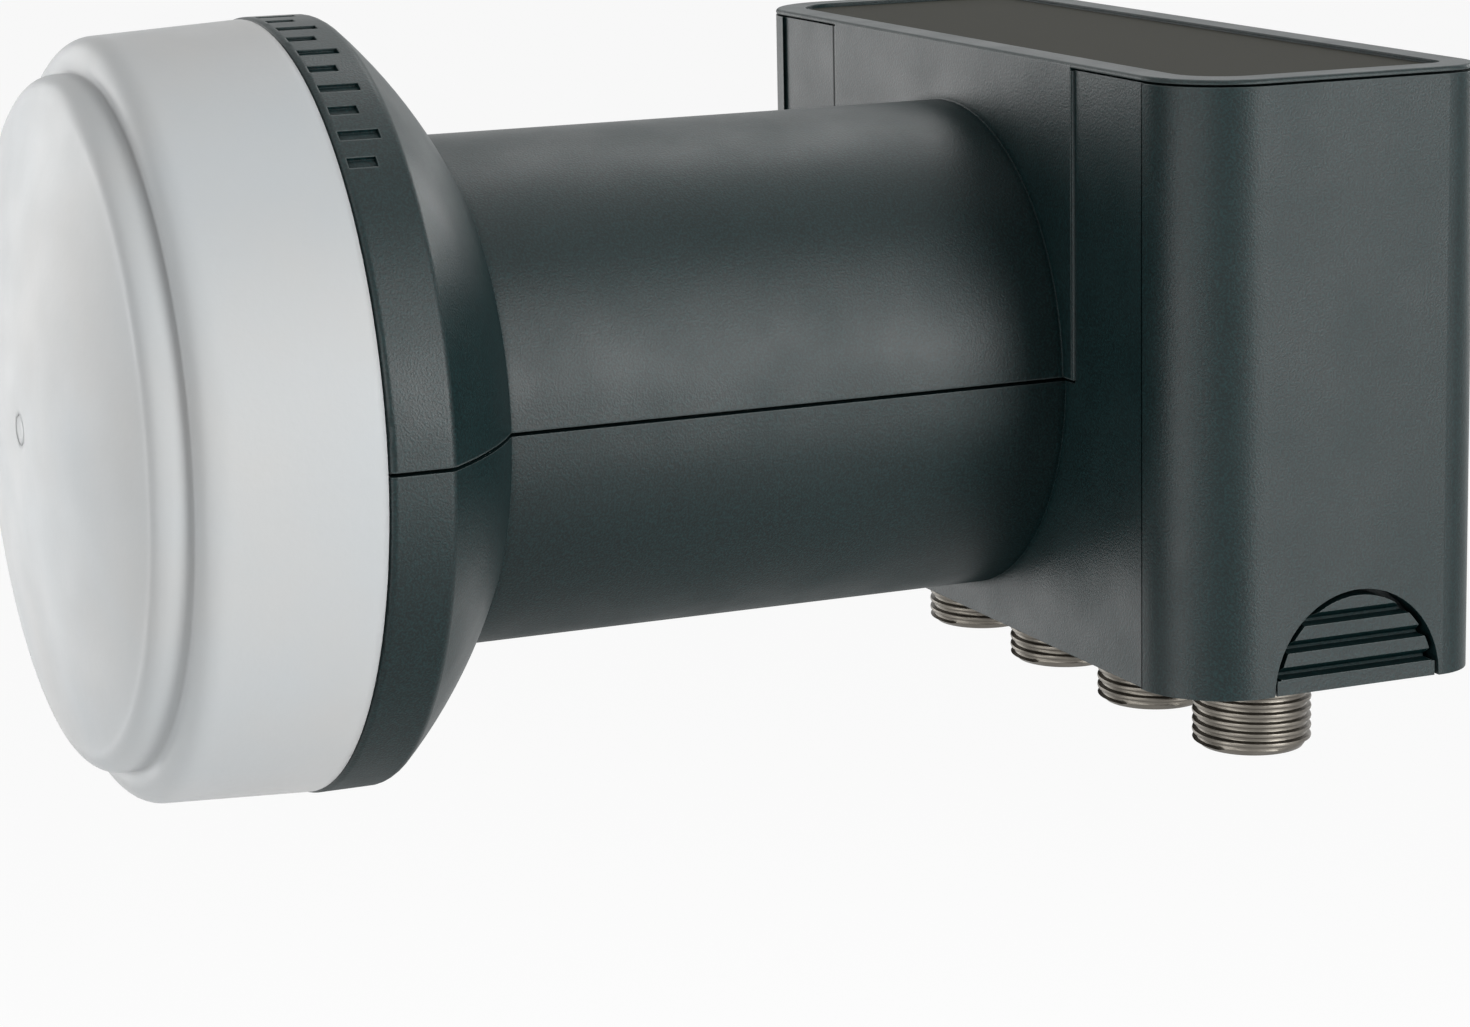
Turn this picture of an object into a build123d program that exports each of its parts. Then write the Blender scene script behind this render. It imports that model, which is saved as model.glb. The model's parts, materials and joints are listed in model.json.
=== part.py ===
from build123d import *
import os
from math import cos, radians, sin

# Satellite LNB with four F outputs and a telescoping weather sleeve.
# The origin is on the feed axis in the middle of the clamp zone of the neck.
# The feed looks along -Y, the housing is at +Y and the outputs point down, -Z.

# Neck and collar
neck_diameter = 40.0
neck_length = 46.0
neck_wall = 2.2
collar_length = 7.9
collar_bulge = 0.36
collar_soften = 0.8
ring_diameter = 59.8
ring_width = 4.9
ring_soften = 0.6
spigot_step = 2.3
spigot_length = 9.2
spigot_wall = 1.9
seam_gap = 0.3
crush_rib_places = (-14.0, 10.0)
crush_rib_width = 1.6

# Angle scale engraved on the collar ring
scale_step_angle = 5.0
scale_steps = 9
scale_long_mark = 3.1
scale_short_mark = 2.2
scale_mark_width = 0.9
scale_mark_depth = 0.28
scale_inset = 0.6

# Housing box
housing_width = 78.6
housing_depth = 26.6
housing_rise = 24.9
housing_drop = 22.1
front_corner = 7.0
back_corner = 4.0
least_corner = 0.3
shell_wall = 2.0
face_recess = 0.25
face_recess_margin = 6.9
saddle_margin = 1.5
saddle_gap = 0.12

# Lid of the upper shell
lid_edge = 0.35
lid_gap = 0.2
lid_soften = 0.3
rim_width = 2.6
rim_depth = 1.0
lid_plate = 2.2
lid_skirt_depth = 1.5
lid_skirt_wall = 1.3
lid_fit = 0.1
lid_bead = 0.35
lid_bead_height = 0.8
hold_down_rib_width = 1.6
hold_down_rib_length = 12.0
hold_down_rib_place = 22.0

# Weather sleeve
sleeve_clearance = 0.35
sleeve_wall = 1.4
sleeve_top_gap = 0.3
sleeve_travel = 26.0
sleeve_stop_play = 0.15
sleeve_slot_gap = 2.0
sleeve_sill = 8.4
lug_width = 4.0
lug_height = 3.0
lug_reach = 0.9
lug_side_play = 0.35
guide_groove_depth = 1.1
back_lug_inset = 17.3
front_lug_inset = 11.8

# Finger grips of the sleeve and the notches that they sit in
notch_width = 14.6
notch_height = 7.6
grip_gap = 0.5
grip_under_flush = 0.15
grip_ledges = 3
grip_ledge_depth = 1.1
grip_bar_height = 1.15
grip_bar_gap = 0.3
grip_shelf_share = 0.08
grip_groove_share = 0.2
grip_face_share = 0.52

# Feed cap
cap_ring_step = 0.15
cap_draft = 0.6
cap_skirt_length = 13.3
cap_shoulder_soften = 2.0
cap_disc_step = 2.7
cap_disc_rise = 2.8
cap_disc_soften = 1.8
cap_dome_rise = 3.0
cap_dome_mid_share = 0.75
cap_wall = 1.4
cap_fit = 0.05
cap_rib_wall = 1.2
cap_gate_diameter = 2.4
cap_gate_depth = 0.35

# Feed casting: horn, waveguide and electronics box
waveguide_diameter = 18.0
waveguide_wall = 2.0
horn_rim_gap = 0.7
horn_mouth_diameter = 27.0
horn_flare_length = 14.0
horn_mouth_gap = 2.6
horn_web = 2.4
horn_depth = 10.5
choke_rings = 2
choke_ring_wall = 1.5
choke_seal_wall = 1.33
choke_ring_depth = 7.5
seal_section = 1.6
seal_groove_width = 1.9
seal_squeeze_gap = 0.08
box_side_gap = 2.05
box_front_gap = 0.45
box_back_gap = 0.55
box_top_gap = 3.7
box_sill = 5.6
box_wall = 2.0
box_corner = 3.0
box_inner_corner = 0.8
backshort_depth = 6.0
boss_wall = 2.2

# Circuit board and what it carries
board_thickness = 0.8
board_edge_gap = 0.3
fit_gap = 0.05
contact_radius = 0.45
shield_width = 20.0
shield_height = 15.0
shield_back_gap = 0.45
shield_sheet = 0.3
post_diameter = 5.0
post_side_gap = 6.5
post_place_up = 8.0
switch_chip_place = 19.0
switch_chip_size = (7.0, 7.0, 1.0)
crystal_size = (3.2, 2.5, 0.8)
regulator_size = (6.5, 3.6, 1.6)
capacitor_size = (1.6, 2.0, 0.9)
regulator_count = 2
regulator_pitch = 9.0
choke_side = 4.0
choke_depth = 1.8
choke_gap = 1.0
capacitor_count = 5
capacitor_pitch = 3.4

# Probes that reach into the waveguide
probe_diameter = 0.9
probe_tip_radius = 3.6
probe_leg_radius = 12.2
probe_bend = 1.2
probe_bush_radius = 1.2
horizontal_probe_depth = 4.0
vertical_probe_depth = 6.4

# Rear lid and screws
gasket_thickness = 0.5
gasket_inset = 0.2
rear_lid_thickness = 1.2
rear_lid_inset = 0.5
screw_play = 0.15
screw_diameter = 2.0
screw_head_diameter = 3.8
screw_head_height = 1.4
screw_head_soften = 0.55
screw_length = 5.0
screw_boss_diameter = 5.0
screw_recess_width = 1.6
screw_recess_depth = 0.7
screw_recess_bar = 0.5

# F outputs
output_count = 4
output_pitch = 15.75
output_back_gap = 4.2
output_thread_diameter = 9.52
output_stand_out = 8.3
output_tip_chamfer = 0.4
flange_across_flats = 11.0
flange_height = 2.0
output_seal_thickness = 0.5
output_shank_diameter = 7.4
output_bore_diameter = 6.4
output_mouth_diameter = 3.4
output_mouth_wall = 0.8
insulator_hole_diameter = 1.4
contact_inset = 2.4
contact_rise = 3.2

# How far cutters run past the faces that they open
overrun = 1.0

# Places worked out from the sizes above
front_y = neck_length / 2
back_y = front_y + housing_depth
middle_y = front_y + housing_depth / 2
collar_y = -front_y - collar_length
ring_front_y = collar_y - ring_width
spigot_front_y = ring_front_y - spigot_length
spigot_radius = ring_diameter / 2 - spigot_step
spigot_bore_radius = spigot_radius - spigot_wall
cap_back_radius = ring_diameter / 2 - cap_ring_step
cap_front_radius = cap_back_radius - cap_draft
cap_step_y = ring_front_y - cap_skirt_length
cap_rim_y = cap_step_y - cap_disc_rise
saddle_width = neck_diameter + 2 * saddle_margin
lid_under_z = housing_rise - lid_edge
wall_top_z = lid_under_z - lid_gap
plate_under_z = housing_rise - rim_depth - lid_plate
skirt_under_z = plate_under_z - lid_skirt_depth
sleeve_inset = shell_wall + sleeve_clearance
sleeve_inner_inset = sleeve_inset + sleeve_wall
sleeve_top_z = skirt_under_z - sleeve_top_gap
back_lug_place = housing_width / 2 - back_lug_inset
front_lug_place = housing_width / 2 - front_lug_inset
box_half_width = housing_width / 2 - sleeve_inner_inset - box_side_gap
box_front_y = front_y + sleeve_inner_inset + box_front_gap
lid_stack = gasket_thickness + rear_lid_thickness + screw_head_height
box_back_y = back_y - sleeve_inner_inset - box_back_gap - lid_stack
box_top_z = plate_under_z - box_top_gap
box_under_z = -housing_drop + box_sill
output_y = box_back_y - output_back_gap
output_tip_z = -housing_drop - output_stand_out
board_y = output_y + contact_radius + fit_gap
board_back_y = board_y + board_thickness
shield_depth = box_back_y - board_back_y - fit_gap - shield_back_gap
post_place_across = box_half_width - post_side_gap
tube_radius = waveguide_diameter / 2 + waveguide_wall
sleeve_slot_width = 2 * (tube_radius + sleeve_slot_gap)
horn_radius = spigot_bore_radius - horn_rim_gap
horn_front_y = cap_rim_y + cap_wall + horn_mouth_gap
seal_y = horn_front_y + seal_groove_width
seal_floor_radius = horn_radius + seal_squeeze_gap - seal_section - fit_gap
choke_room = seal_floor_radius - choke_seal_wall - horn_mouth_diameter / 2
choke_ring_width = choke_room / choke_rings - choke_ring_wall
boss_radius = waveguide_diameter / 2 + boss_wall
flange_top_z = box_under_z - output_seal_thickness


def turned(points):
    """Revolve a closed outline of (radius, y) points about the feed axis."""
    outline = Polyline(*[(r, y) for r, y in points], close=True)
    return revolve(make_face(outline), Axis.Y)


def turned_face(edges):
    """Revolve a closed outline made of edges in the XY plane about the feed axis."""
    return revolve(make_face(edges), Axis.Y)


def housing_outline(inset):
    """Plan of the housing box drawn inwards by inset, as a face at height zero."""
    width = housing_width - 2 * inset
    depth = housing_depth - 2 * inset
    plan = Pos(0, middle_y) * Rectangle(width, depth)
    front = plan.vertices().sort_by(Axis.Y)[:2]
    plan = fillet(front, max(front_corner - inset, least_corner))
    back = plan.vertices().sort_by(Axis.Y)[-2:]
    return fillet(back, max(back_corner - inset, least_corner))


def prism(inset, low, high):
    """Upright prism of the housing plan between two heights."""
    return Pos(0, 0, low) * extrude(housing_outline(inset), high - low)


def box_between(x0, x1, y0, y1, z0, z1):
    """Block between two corners."""
    centre = Pos((x0 + x1) / 2, (y0 + y1) / 2, (z0 + z1) / 2)
    return centre * Box(x1 - x0, y1 - y0, z1 - z0)


def rod_y(radius, y0, y1, x=0.0, z=0.0):
    """Round rod along Y."""
    return Pos(x, (y0 + y1) / 2, z) * Rot(90, 0, 0) * Cylinder(radius, y1 - y0)


def rod_z(radius, z0, z1, x=0.0, y=0.0):
    """Round rod along Z."""
    return Pos(x, y, (z0 + z1) / 2) * Cylinder(radius, z1 - z0)


def half_space(sign, gap):
    """Large block above or below the parting plane, held back by half the seam."""
    reach = housing_width + housing_depth + neck_length
    return Pos(0, 0, sign * (reach + gap / 2)) * Box(4 * reach, 4 * reach, 2 * reach)


def output_places():
    """Middle of each F output across the housing."""
    first = -(output_count - 1) / 2 * output_pitch
    return [first + i * output_pitch for i in range(output_count)]


def neck_and_collar():
    """Hollow neck, flared collar, ring and cap spigot, still in one piece."""
    outer = neck_diameter / 2
    ring = ring_diameter / 2
    bore = outer - neck_wall
    flare_end_y = ring_front_y + spigot_wall
    flare_mid = ((outer + ring) / 2 + collar_bulge, (collar_y - front_y) / 2 + collar_bulge)
    outline = Polyline(
        (ring, collar_y),
        (ring, ring_front_y),
        (spigot_radius, ring_front_y),
        (spigot_radius, spigot_front_y),
        (spigot_bore_radius, spigot_front_y),
        (spigot_bore_radius, flare_end_y),
        (bore, -front_y),
        (bore, front_y + shell_wall),
        (outer, front_y + shell_wall),
        (outer, -front_y),
    )
    flare = ThreePointArc((outer, -front_y), flare_mid, (ring, collar_y))
    section = make_face(outline + flare)
    widest = section.vertices().group_by(Axis.X)[-1].sort_by(Axis.Y)
    section = fillet(widest[-1], collar_soften)
    section = fillet(section.vertices().group_by(Axis.X)[-1].sort_by(Axis.Y)[0], ring_soften)
    body = revolve(section, Axis.Y)
    for y in crush_rib_places:
        rib = rod_y(bore + neck_wall / 2, y, y + crush_rib_width)
        body += rib - rod_y(tube_radius + fit_gap, y - overrun, y + crush_rib_width + overrun)
    return body


def scale_grooves():
    """Cutters of the angle marks, long and short in turn, on both sides of the top."""
    cutters = []
    ring = ring_diameter / 2
    start = ring_front_y + scale_inset
    for i in range(-scale_steps, scale_steps + 1):
        length = scale_short_mark if i % 2 else scale_long_mark
        mark = Box(scale_mark_width, length, 2 * scale_mark_depth)
        mark = Pos(0, start + length / 2, ring) * mark
        cutters.append(Rot(0, i * scale_step_angle, 0) * mark)
    return cutters


def lid():
    """Roof of the housing with its raised rim, plug, skirt and snap bead."""
    plug_inset = shell_wall + lid_fit
    roof = prism(0, lid_under_z, housing_rise)
    top_edges = roof.edges().group_by(Axis.Z)[-1]
    roof = fillet(top_edges, lid_soften)
    roof -= prism(rim_width, housing_rise - rim_depth, housing_rise + overrun)
    roof += prism(plug_inset, plate_under_z, lid_under_z)
    skirt = prism(plug_inset, skirt_under_z, plate_under_z)
    skirt -= prism(plug_inset + lid_skirt_wall, skirt_under_z - overrun, plate_under_z)
    bead_z = plate_under_z + lid_bead_height
    bead = prism(plug_inset - lid_bead, bead_z, bead_z + lid_bead_height)
    roof += skirt + bead
    roof -= box_between(-sleeve_slot_width / 2, sleeve_slot_width / 2, front_y - overrun,
                        front_y + shell_wall + lid_fit + lid_skirt_wall + overrun,
                        skirt_under_z - overrun, plate_under_z)
    for side in (-1, 1):
        x = side * hold_down_rib_place
        roof += box_between(x - hold_down_rib_width / 2, x + hold_down_rib_width / 2,
                            middle_y - hold_down_rib_length / 2,
                            middle_y + hold_down_rib_length / 2,
                            box_top_z + fit_gap, plate_under_z)
    return roof


def saddle():
    """Strip of front wall above the neck, which belongs to the upper shell."""
    half = saddle_width / 2 - saddle_gap
    return box_between(-half, half, front_y, front_y + shell_wall,
                       seam_gap / 2, lid_under_z + lid_edge / 2)


def neck_bore():
    """Cutter that keeps the inside of the neck open through the front wall."""
    bore = neck_diameter / 2 - neck_wall
    return rod_y(bore, -front_y, front_y + shell_wall + overrun)


def make_upper_shell():
    """Lid, saddle and the upper halves of neck, collar and ring."""
    upper = neck_and_collar() & half_space(1, seam_gap)
    strip = saddle() - neck_bore()
    shell = upper + strip + lid()
    for cutter in scale_grooves():
        shell -= cutter
    return shell


def guide_places():
    """Each sleeve guide as its place across and the side of the box, -1 at the front."""
    return [(x * back_lug_place, 1) for x in (-1, 1)] + [(x * front_lug_place, -1) for x in (-1, 1)]


def guide_face(side, inset):
    """Y of the box wall's face at an inset, front or back."""
    return front_y + inset if side < 0 else back_y - inset


def guide_block(x, side, width, inner, outer, z0, z1):
    """Block in a wall between two insets, used for grooves and lugs alike."""
    y0, y1 = sorted((guide_face(side, inner), guide_face(side, outer)))
    return box_between(x - width / 2, x + width / 2, y0, y1, z0, z1)


def notch_shape(gap):
    """Half round arch in the side wall's plane, smaller than the notch by gap."""
    radius = notch_width / 2 - gap
    height = notch_height - gap
    arch = Pos(0, 0) * Ellipse(radius, height)
    upper = Pos(0, height) * Rectangle(4 * radius, 2 * height)
    return arch & upper


def side_plane(x):
    """Plane of a side wall, with its local Y along +Z and its origin at the notch's foot."""
    return Plane(origin=(x, output_y, -housing_drop), x_dir=(0, 1, 0), z_dir=(1, 0, 0))


def notch_cutter():
    """Arched notches through both side walls."""
    reach = housing_width / 2
    through = extrude(side_plane(-reach - overrun) * notch_shape(0), 2 * (reach + overrun))
    return through - box_between(-reach + shell_wall + overrun, reach - shell_wall - overrun,
                                 front_y, back_y, -housing_drop - overrun, 0)


def make_lower_shell():
    """Box walls with sleeve guides and notches, and the lower halves of neck and collar."""
    walls = prism(0, -housing_drop, wall_top_z)
    walls -= prism(shell_wall, -housing_drop - overrun, wall_top_z + overrun)
    half_recess = housing_width / 2 - face_recess_margin
    walls -= box_between(-half_recess, half_recess, front_y - overrun, front_y + face_recess,
                         -housing_drop - overrun, wall_top_z + overrun)
    walls -= box_between(-saddle_width / 2, saddle_width / 2, front_y - overrun,
                         front_y + shell_wall + overrun, -seam_gap / 2, wall_top_z + overrun)
    bead_z = plate_under_z + lid_bead_height - fit_gap
    bead_top = bead_z + lid_bead_height + 2 * fit_gap
    groove_inset = shell_wall + lid_fit - lid_bead - fit_gap
    walls -= prism(groove_inset, bead_z, bead_top) - prism(shell_wall + overrun, bead_z, bead_top)
    groove_foot = sleeve_top_z - sleeve_travel - lug_height - sleeve_stop_play
    for x, side in guide_places():
        walls -= guide_block(x, side, lug_width + 2 * lug_side_play,
                             shell_wall - guide_groove_depth, shell_wall + overrun,
                             groove_foot, wall_top_z + overrun)
    walls -= notch_cutter()
    lower = neck_and_collar() & half_space(-1, seam_gap)
    walls -= neck_bore()
    foot = rod_y(neck_diameter / 2, front_y, front_y + shell_wall)
    walls -= foot & half_space(1, -seam_gap)
    return walls + lower


def grip(side):
    """Finger grip: an arched pad of ledges, each an upright face over a slope, and a foot bar."""
    inner_x = housing_width / 2 - sleeve_inset - sleeve_wall / 2
    outer_x = housing_width / 2 - grip_under_flush
    deep_x = outer_x - grip_ledge_depth
    pad = extrude(side_plane(inner_x) * notch_shape(grip_gap), outer_x - inner_x)
    pitch = (notch_height - grip_gap - grip_bar_height) / grip_ledges
    for i in range(grip_ledges):
        low = grip_bar_height + i * pitch
        face_z = low + pitch * grip_face_share
        profile = Polyline((outer_x + overrun, low), (deep_x, low + pitch * grip_shelf_share),
                           (deep_x, low + pitch * grip_groove_share), (outer_x, face_z),
                           (outer_x + overrun, face_z), close=True)
        cutter = extrude(Plane.XZ * make_face(profile), notch_width, both=True)
        pad -= Pos(0, output_y, -housing_drop) * cutter
    half = notch_width / 2 - grip_bar_gap
    pad += box_between(inner_x, outer_x, output_y - half, output_y + half,
                       -housing_drop, -housing_drop + grip_bar_height)
    return pad if side > 0 else mirror(pad, Plane.YZ)


def make_weather_sleeve():
    """Inner box that slides down over the plugs, open below and slotted round the feed."""
    low = -housing_drop
    sleeve = prism(sleeve_inset, low, sleeve_top_z)
    sleeve -= prism(sleeve_inner_inset, low - overrun, sleeve_top_z + overrun)
    slot_radius = sleeve_slot_width / 2
    slot_z = low + sleeve_sill + slot_radius
    slot_y0 = front_y
    slot_y1 = front_y + sleeve_inner_inset + overrun
    sleeve -= rod_y(slot_radius, slot_y0, slot_y1, 0, slot_z)
    sleeve -= box_between(-slot_radius, slot_radius, slot_y0, slot_y1, slot_z, sleeve_top_z + overrun)
    for x, side in guide_places():
        sleeve += guide_block(x, side, lug_width, sleeve_inset - lug_reach,
                              sleeve_inset + sleeve_wall / 2,
                              sleeve_top_z - lug_height, sleeve_top_z)
    return sleeve + grip(1) + grip(-1)


def round_middle(radius):
    """How far a quarter round's middle lies inside the corner that it rounds."""
    return radius * (1 - cos(radians(45)))


def cap_outline(inset):
    """Edges of half the cap's outer form, drawn inwards by inset, from the axis to the skirt."""
    front_r = cap_front_radius - inset
    back_r = cap_back_radius - inset
    rim_r = cap_front_radius - cap_disc_step - inset
    rim_y = cap_rim_y + inset
    step_y = cap_step_y + inset
    foot_y = ring_front_y - fit_gap
    apex_y = rim_y - cap_dome_rise
    rim_round = max(cap_disc_soften - inset, least_corner)
    step_round = max(cap_shoulder_soften - inset, least_corner)
    flat_r = rim_r - rim_round
    step_r = front_r - step_round
    dome_mid_y = rim_y - cap_dome_mid_share * cap_dome_rise
    rim_mid = (rim_r - round_middle(rim_round), rim_y + round_middle(rim_round))
    step_mid = (front_r - round_middle(step_round), step_y + round_middle(step_round))
    return [
        ThreePointArc((0, apex_y), (flat_r / 2, dome_mid_y), (flat_r, rim_y)),
        ThreePointArc((flat_r, rim_y), rim_mid, (rim_r, rim_y + rim_round)),
        Line((rim_r, rim_y + rim_round), (rim_r, step_y)),
        Line((rim_r, step_y), (step_r, step_y)),
        ThreePointArc((step_r, step_y), step_mid, (front_r, step_y + step_round)),
        Line((front_r, step_y + step_round), (back_r, foot_y)),
        Line((back_r, foot_y), (0, foot_y)),
        Line((0, foot_y), (0, apex_y)),
    ]


def make_feed_cap():
    """Domed plastic cap with a stepped rim, a snap skirt and an inner sealing rib."""
    cap = turned_face(cap_outline(0)) - turned_face(cap_outline(cap_wall))
    cap += rod_y(cap_front_radius - cap_wall / 2, spigot_front_y, ring_front_y - fit_gap)
    cap -= rod_y(spigot_radius + cap_fit, spigot_front_y - overrun, ring_front_y + overrun)
    rib_r = horn_radius + 2 * seal_squeeze_gap
    rib = rod_y(rib_r + cap_rib_wall, cap_step_y + cap_wall / 2, spigot_front_y - fit_gap)
    cap += rib - rod_y(rib_r, cap_rim_y, ring_front_y)
    apex_y = cap_rim_y - cap_dome_rise
    return cap - rod_y(cap_gate_diameter / 2, apex_y - overrun, apex_y + cap_gate_depth)


def make_cap_seal():
    """O-ring in the groove of the horn's rim."""
    radius = horn_radius + seal_squeeze_gap - seal_section / 2
    ring = Torus(radius, seal_section / 2)
    return Pos(0, seal_y, 0) * Rot(90, 0, 0) * ring


def horn():
    """Flared horn with choke rings round its mouth and a groove for the seal."""
    rim = horn_radius
    back = horn_front_y + horn_depth
    body = turned([
        (0, horn_front_y), (rim, horn_front_y), (rim, back - horn_web),
        (rim - horn_web, back), (tube_radius, back + horn_web), (0, back + horn_web),
    ])
    mouth = horn_mouth_diameter / 2
    bore = waveguide_diameter / 2
    body -= turned([
        (0, horn_front_y - overrun), (mouth, horn_front_y - overrun), (mouth, horn_front_y),
        (bore, horn_front_y + horn_flare_length), (0, horn_front_y + horn_flare_length),
    ])
    for i in range(choke_rings):
        inner = mouth + choke_ring_wall + i * (choke_ring_width + choke_ring_wall)
        groove = rod_y(inner + choke_ring_width, horn_front_y - overrun,
                       horn_front_y + choke_ring_depth)
        body -= groove - rod_y(inner, horn_front_y - 2 * overrun,
                               horn_front_y + choke_ring_depth + overrun)
    gland = rod_y(rim + overrun, seal_y - seal_groove_width / 2, seal_y + seal_groove_width / 2)
    body -= gland - rod_y(seal_floor_radius, seal_y - seal_groove_width, seal_y + seal_groove_width)
    return body


def screw_places():
    """Places of the rear lid's screws across and up, at the box's corners and mid sides."""
    x = box_half_width - screw_boss_diameter / 2
    top = box_top_z - screw_boss_diameter / 2
    low = box_under_z + screw_boss_diameter / 2
    return [(-x, top), (0, top), (x, top), (-x, low), (0, low), (x, low)]


def post_places():
    """Places of the board's posts across and up."""
    return [(sx * post_place_across, sz * post_place_up) for sx in (-1, 1) for sz in (-1, 1)]


def box_section(inset, y0, y1):
    """Rounded block of the casting's box between two depths."""
    width = 2 * (box_half_width - inset)
    height = box_top_z - box_under_z - 2 * inset
    centre = (box_top_z + box_under_z) / 2
    face = RectangleRounded(width, height, max(box_corner - inset, box_inner_corner))
    plane = Plane(origin=(0, y0, centre), x_dir=(1, 0, 0), z_dir=(0, 1, 0))
    return extrude(plane * face, y1 - y0)


def probe_place(across):
    """Depth of a probe's arm along the feed axis: horizontal or vertical."""
    return box_front_y + (horizontal_probe_depth if across else vertical_probe_depth)


def turned_up(shape, across):
    """A horizontal arm's shape as it is, or turned up for the vertical arm."""
    return shape if across else Rot(0, -90, 0) * shape


def probe_sleeve(across, radius, inner, outer):
    """Round rod through the boss wall along a probe's arm."""
    arm = Pos((inner + outer) / 2, probe_place(across), 0) * Rot(0, 90, 0)
    return turned_up(arm * Cylinder(radius, outer - inner), across)


def make_probe(across):
    """Bent wire from the waveguide, out through the boss and back to the board."""
    y = probe_place(across)
    path = FilletPolyline((probe_tip_radius, y, 0), (probe_leg_radius, y, 0),
                          (probe_leg_radius, board_y - fit_gap, 0), radius=probe_bend)
    start = Plane(origin=(probe_tip_radius, y, 0), z_dir=(1, 0, 0))
    wire = sweep(start * Circle(probe_diameter / 2), path=path)
    return turned_up(wire, across)


def make_probe_bushes():
    """Plastic bushes that hold the probes in the boss."""
    bushes = []
    bore = waveguide_diameter / 2
    for across in (True, False):
        bush = probe_sleeve(across, probe_bush_radius, bore, boss_radius)
        bush -= probe_sleeve(across, probe_diameter / 2 + fit_gap, bore - overrun, boss_radius + overrun)
        bushes.append(bush)
    return Compound(children=bushes)


def make_feed_casting():
    """Die casting: horn, waveguide tube and the open box that holds the electronics."""
    casting = horn()
    casting += rod_y(tube_radius, horn_front_y + horn_depth, box_front_y + box_wall)
    casting += box_section(0, box_front_y, box_back_y)
    casting -= box_section(box_wall, box_front_y + box_wall, box_back_y + overrun)
    casting += rod_y(boss_radius, box_front_y + box_wall / 2, board_y - fit_gap)
    for x, z in screw_places():
        casting += rod_y(screw_boss_diameter / 2, box_front_y + box_wall / 2, box_back_y, x, z)
    for x, z in post_places():
        casting += rod_y(post_diameter / 2, box_front_y + box_wall / 2, board_y - fit_gap, x, z)
    casting -= rod_y(waveguide_diameter / 2, horn_front_y, box_front_y + box_wall + backshort_depth)
    for x, z in screw_places():
        casting -= rod_y(screw_diameter / 2 + fit_gap, box_back_y - screw_length, box_back_y + overrun, x, z)
    for across in (True, False):
        casting -= probe_sleeve(across, probe_bush_radius + fit_gap, tube_radius / 2, boss_radius + overrun)
    for x in output_places():
        casting -= rod_z(output_shank_diameter / 2 + fit_gap, box_under_z - overrun,
                         box_under_z + box_wall + overrun, x, output_y)
    return casting


def make_circuit_board():
    """Board across the back of the waveguide, notched round the screw bosses."""
    board = box_section(box_wall + board_edge_gap, board_y, board_back_y)
    for x, z in screw_places():
        board -= rod_y(screw_boss_diameter / 2 + board_edge_gap, board_y - overrun,
                       board_back_y + overrun, x, z)
    return board


def make_shield_cover():
    """Pressed screen over the receiving stages, open towards the board."""
    y0 = board_back_y + fit_gap
    y1 = y0 + shield_depth
    outer = box_between(-shield_width / 2, shield_width / 2, y0, y1,
                        -shield_height / 2, shield_height / 2)
    inner = box_between(-shield_width / 2 + shield_sheet, shield_width / 2 - shield_sheet,
                        y0 - overrun, y1 - shield_sheet,
                        -shield_height / 2 + shield_sheet, shield_height / 2 - shield_sheet)
    return outer - inner


def on_board(x, z, size):
    """Block soldered on the back of the board, size being its width, height and depth."""
    width, height, depth = size
    y0 = board_back_y + fit_gap
    return box_between(x - width / 2, x + width / 2, y0, y0 + depth, z - height / 2, z + height / 2)


def make_switch_chip():
    """Chip that switches the bands and polarisations to the outputs."""
    return on_board(-switch_chip_place, 0, switch_chip_size)


def make_crystal():
    """Metal can of the oscillator's crystal."""
    return on_board(-switch_chip_place, switch_chip_size[1], crystal_size)


def make_regulators():
    """Voltage regulators beside the screen."""
    first = -(regulator_count - 1) / 2 * regulator_pitch
    places = [first + i * regulator_pitch for i in range(regulator_count)]
    return Compound(children=[on_board(switch_chip_place, z, regulator_size) for z in places])


def make_chokes():
    """Supply chokes, one above each output."""
    z = -shield_height / 2 - choke_gap - choke_side / 2
    size = (choke_side, choke_side, choke_depth)
    return Compound(children=[on_board(x, z, size) for x in output_places()])


def make_chip_capacitors():
    """Row of chip capacitors above the screen."""
    first = -(capacitor_count - 1) / 2 * capacitor_pitch
    z = shield_height / 2 + capacitor_size[1]
    return Compound(children=[on_board(first + i * capacitor_pitch, z, capacitor_size)
                              for i in range(capacitor_count)])


def make_rear_lid():
    """Sheet metal lid over the back of the casting's box."""
    y0 = box_back_y + gasket_thickness
    plate = box_section(rear_lid_inset, y0, y0 + rear_lid_thickness)
    for x, z in screw_places():
        plate -= rod_y(screw_diameter / 2 + screw_play, y0 - overrun, y0 + rear_lid_thickness + overrun, x, z)
    return plate


def make_lid_gasket():
    """Flat conductive gasket between box and rear lid, with an eye round each screw."""
    y1 = box_back_y + gasket_thickness
    whole = box_section(gasket_inset, box_back_y, y1)
    gasket = whole - box_section(box_wall, box_back_y - overrun, y1 + overrun)
    for x, z in screw_places():
        gasket += rod_y(screw_boss_diameter / 2, box_back_y, y1, x, z) & whole
    for x, z in screw_places():
        gasket -= rod_y(screw_diameter / 2 + screw_play, box_back_y - overrun, y1 + overrun, x, z)
    return gasket


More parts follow.
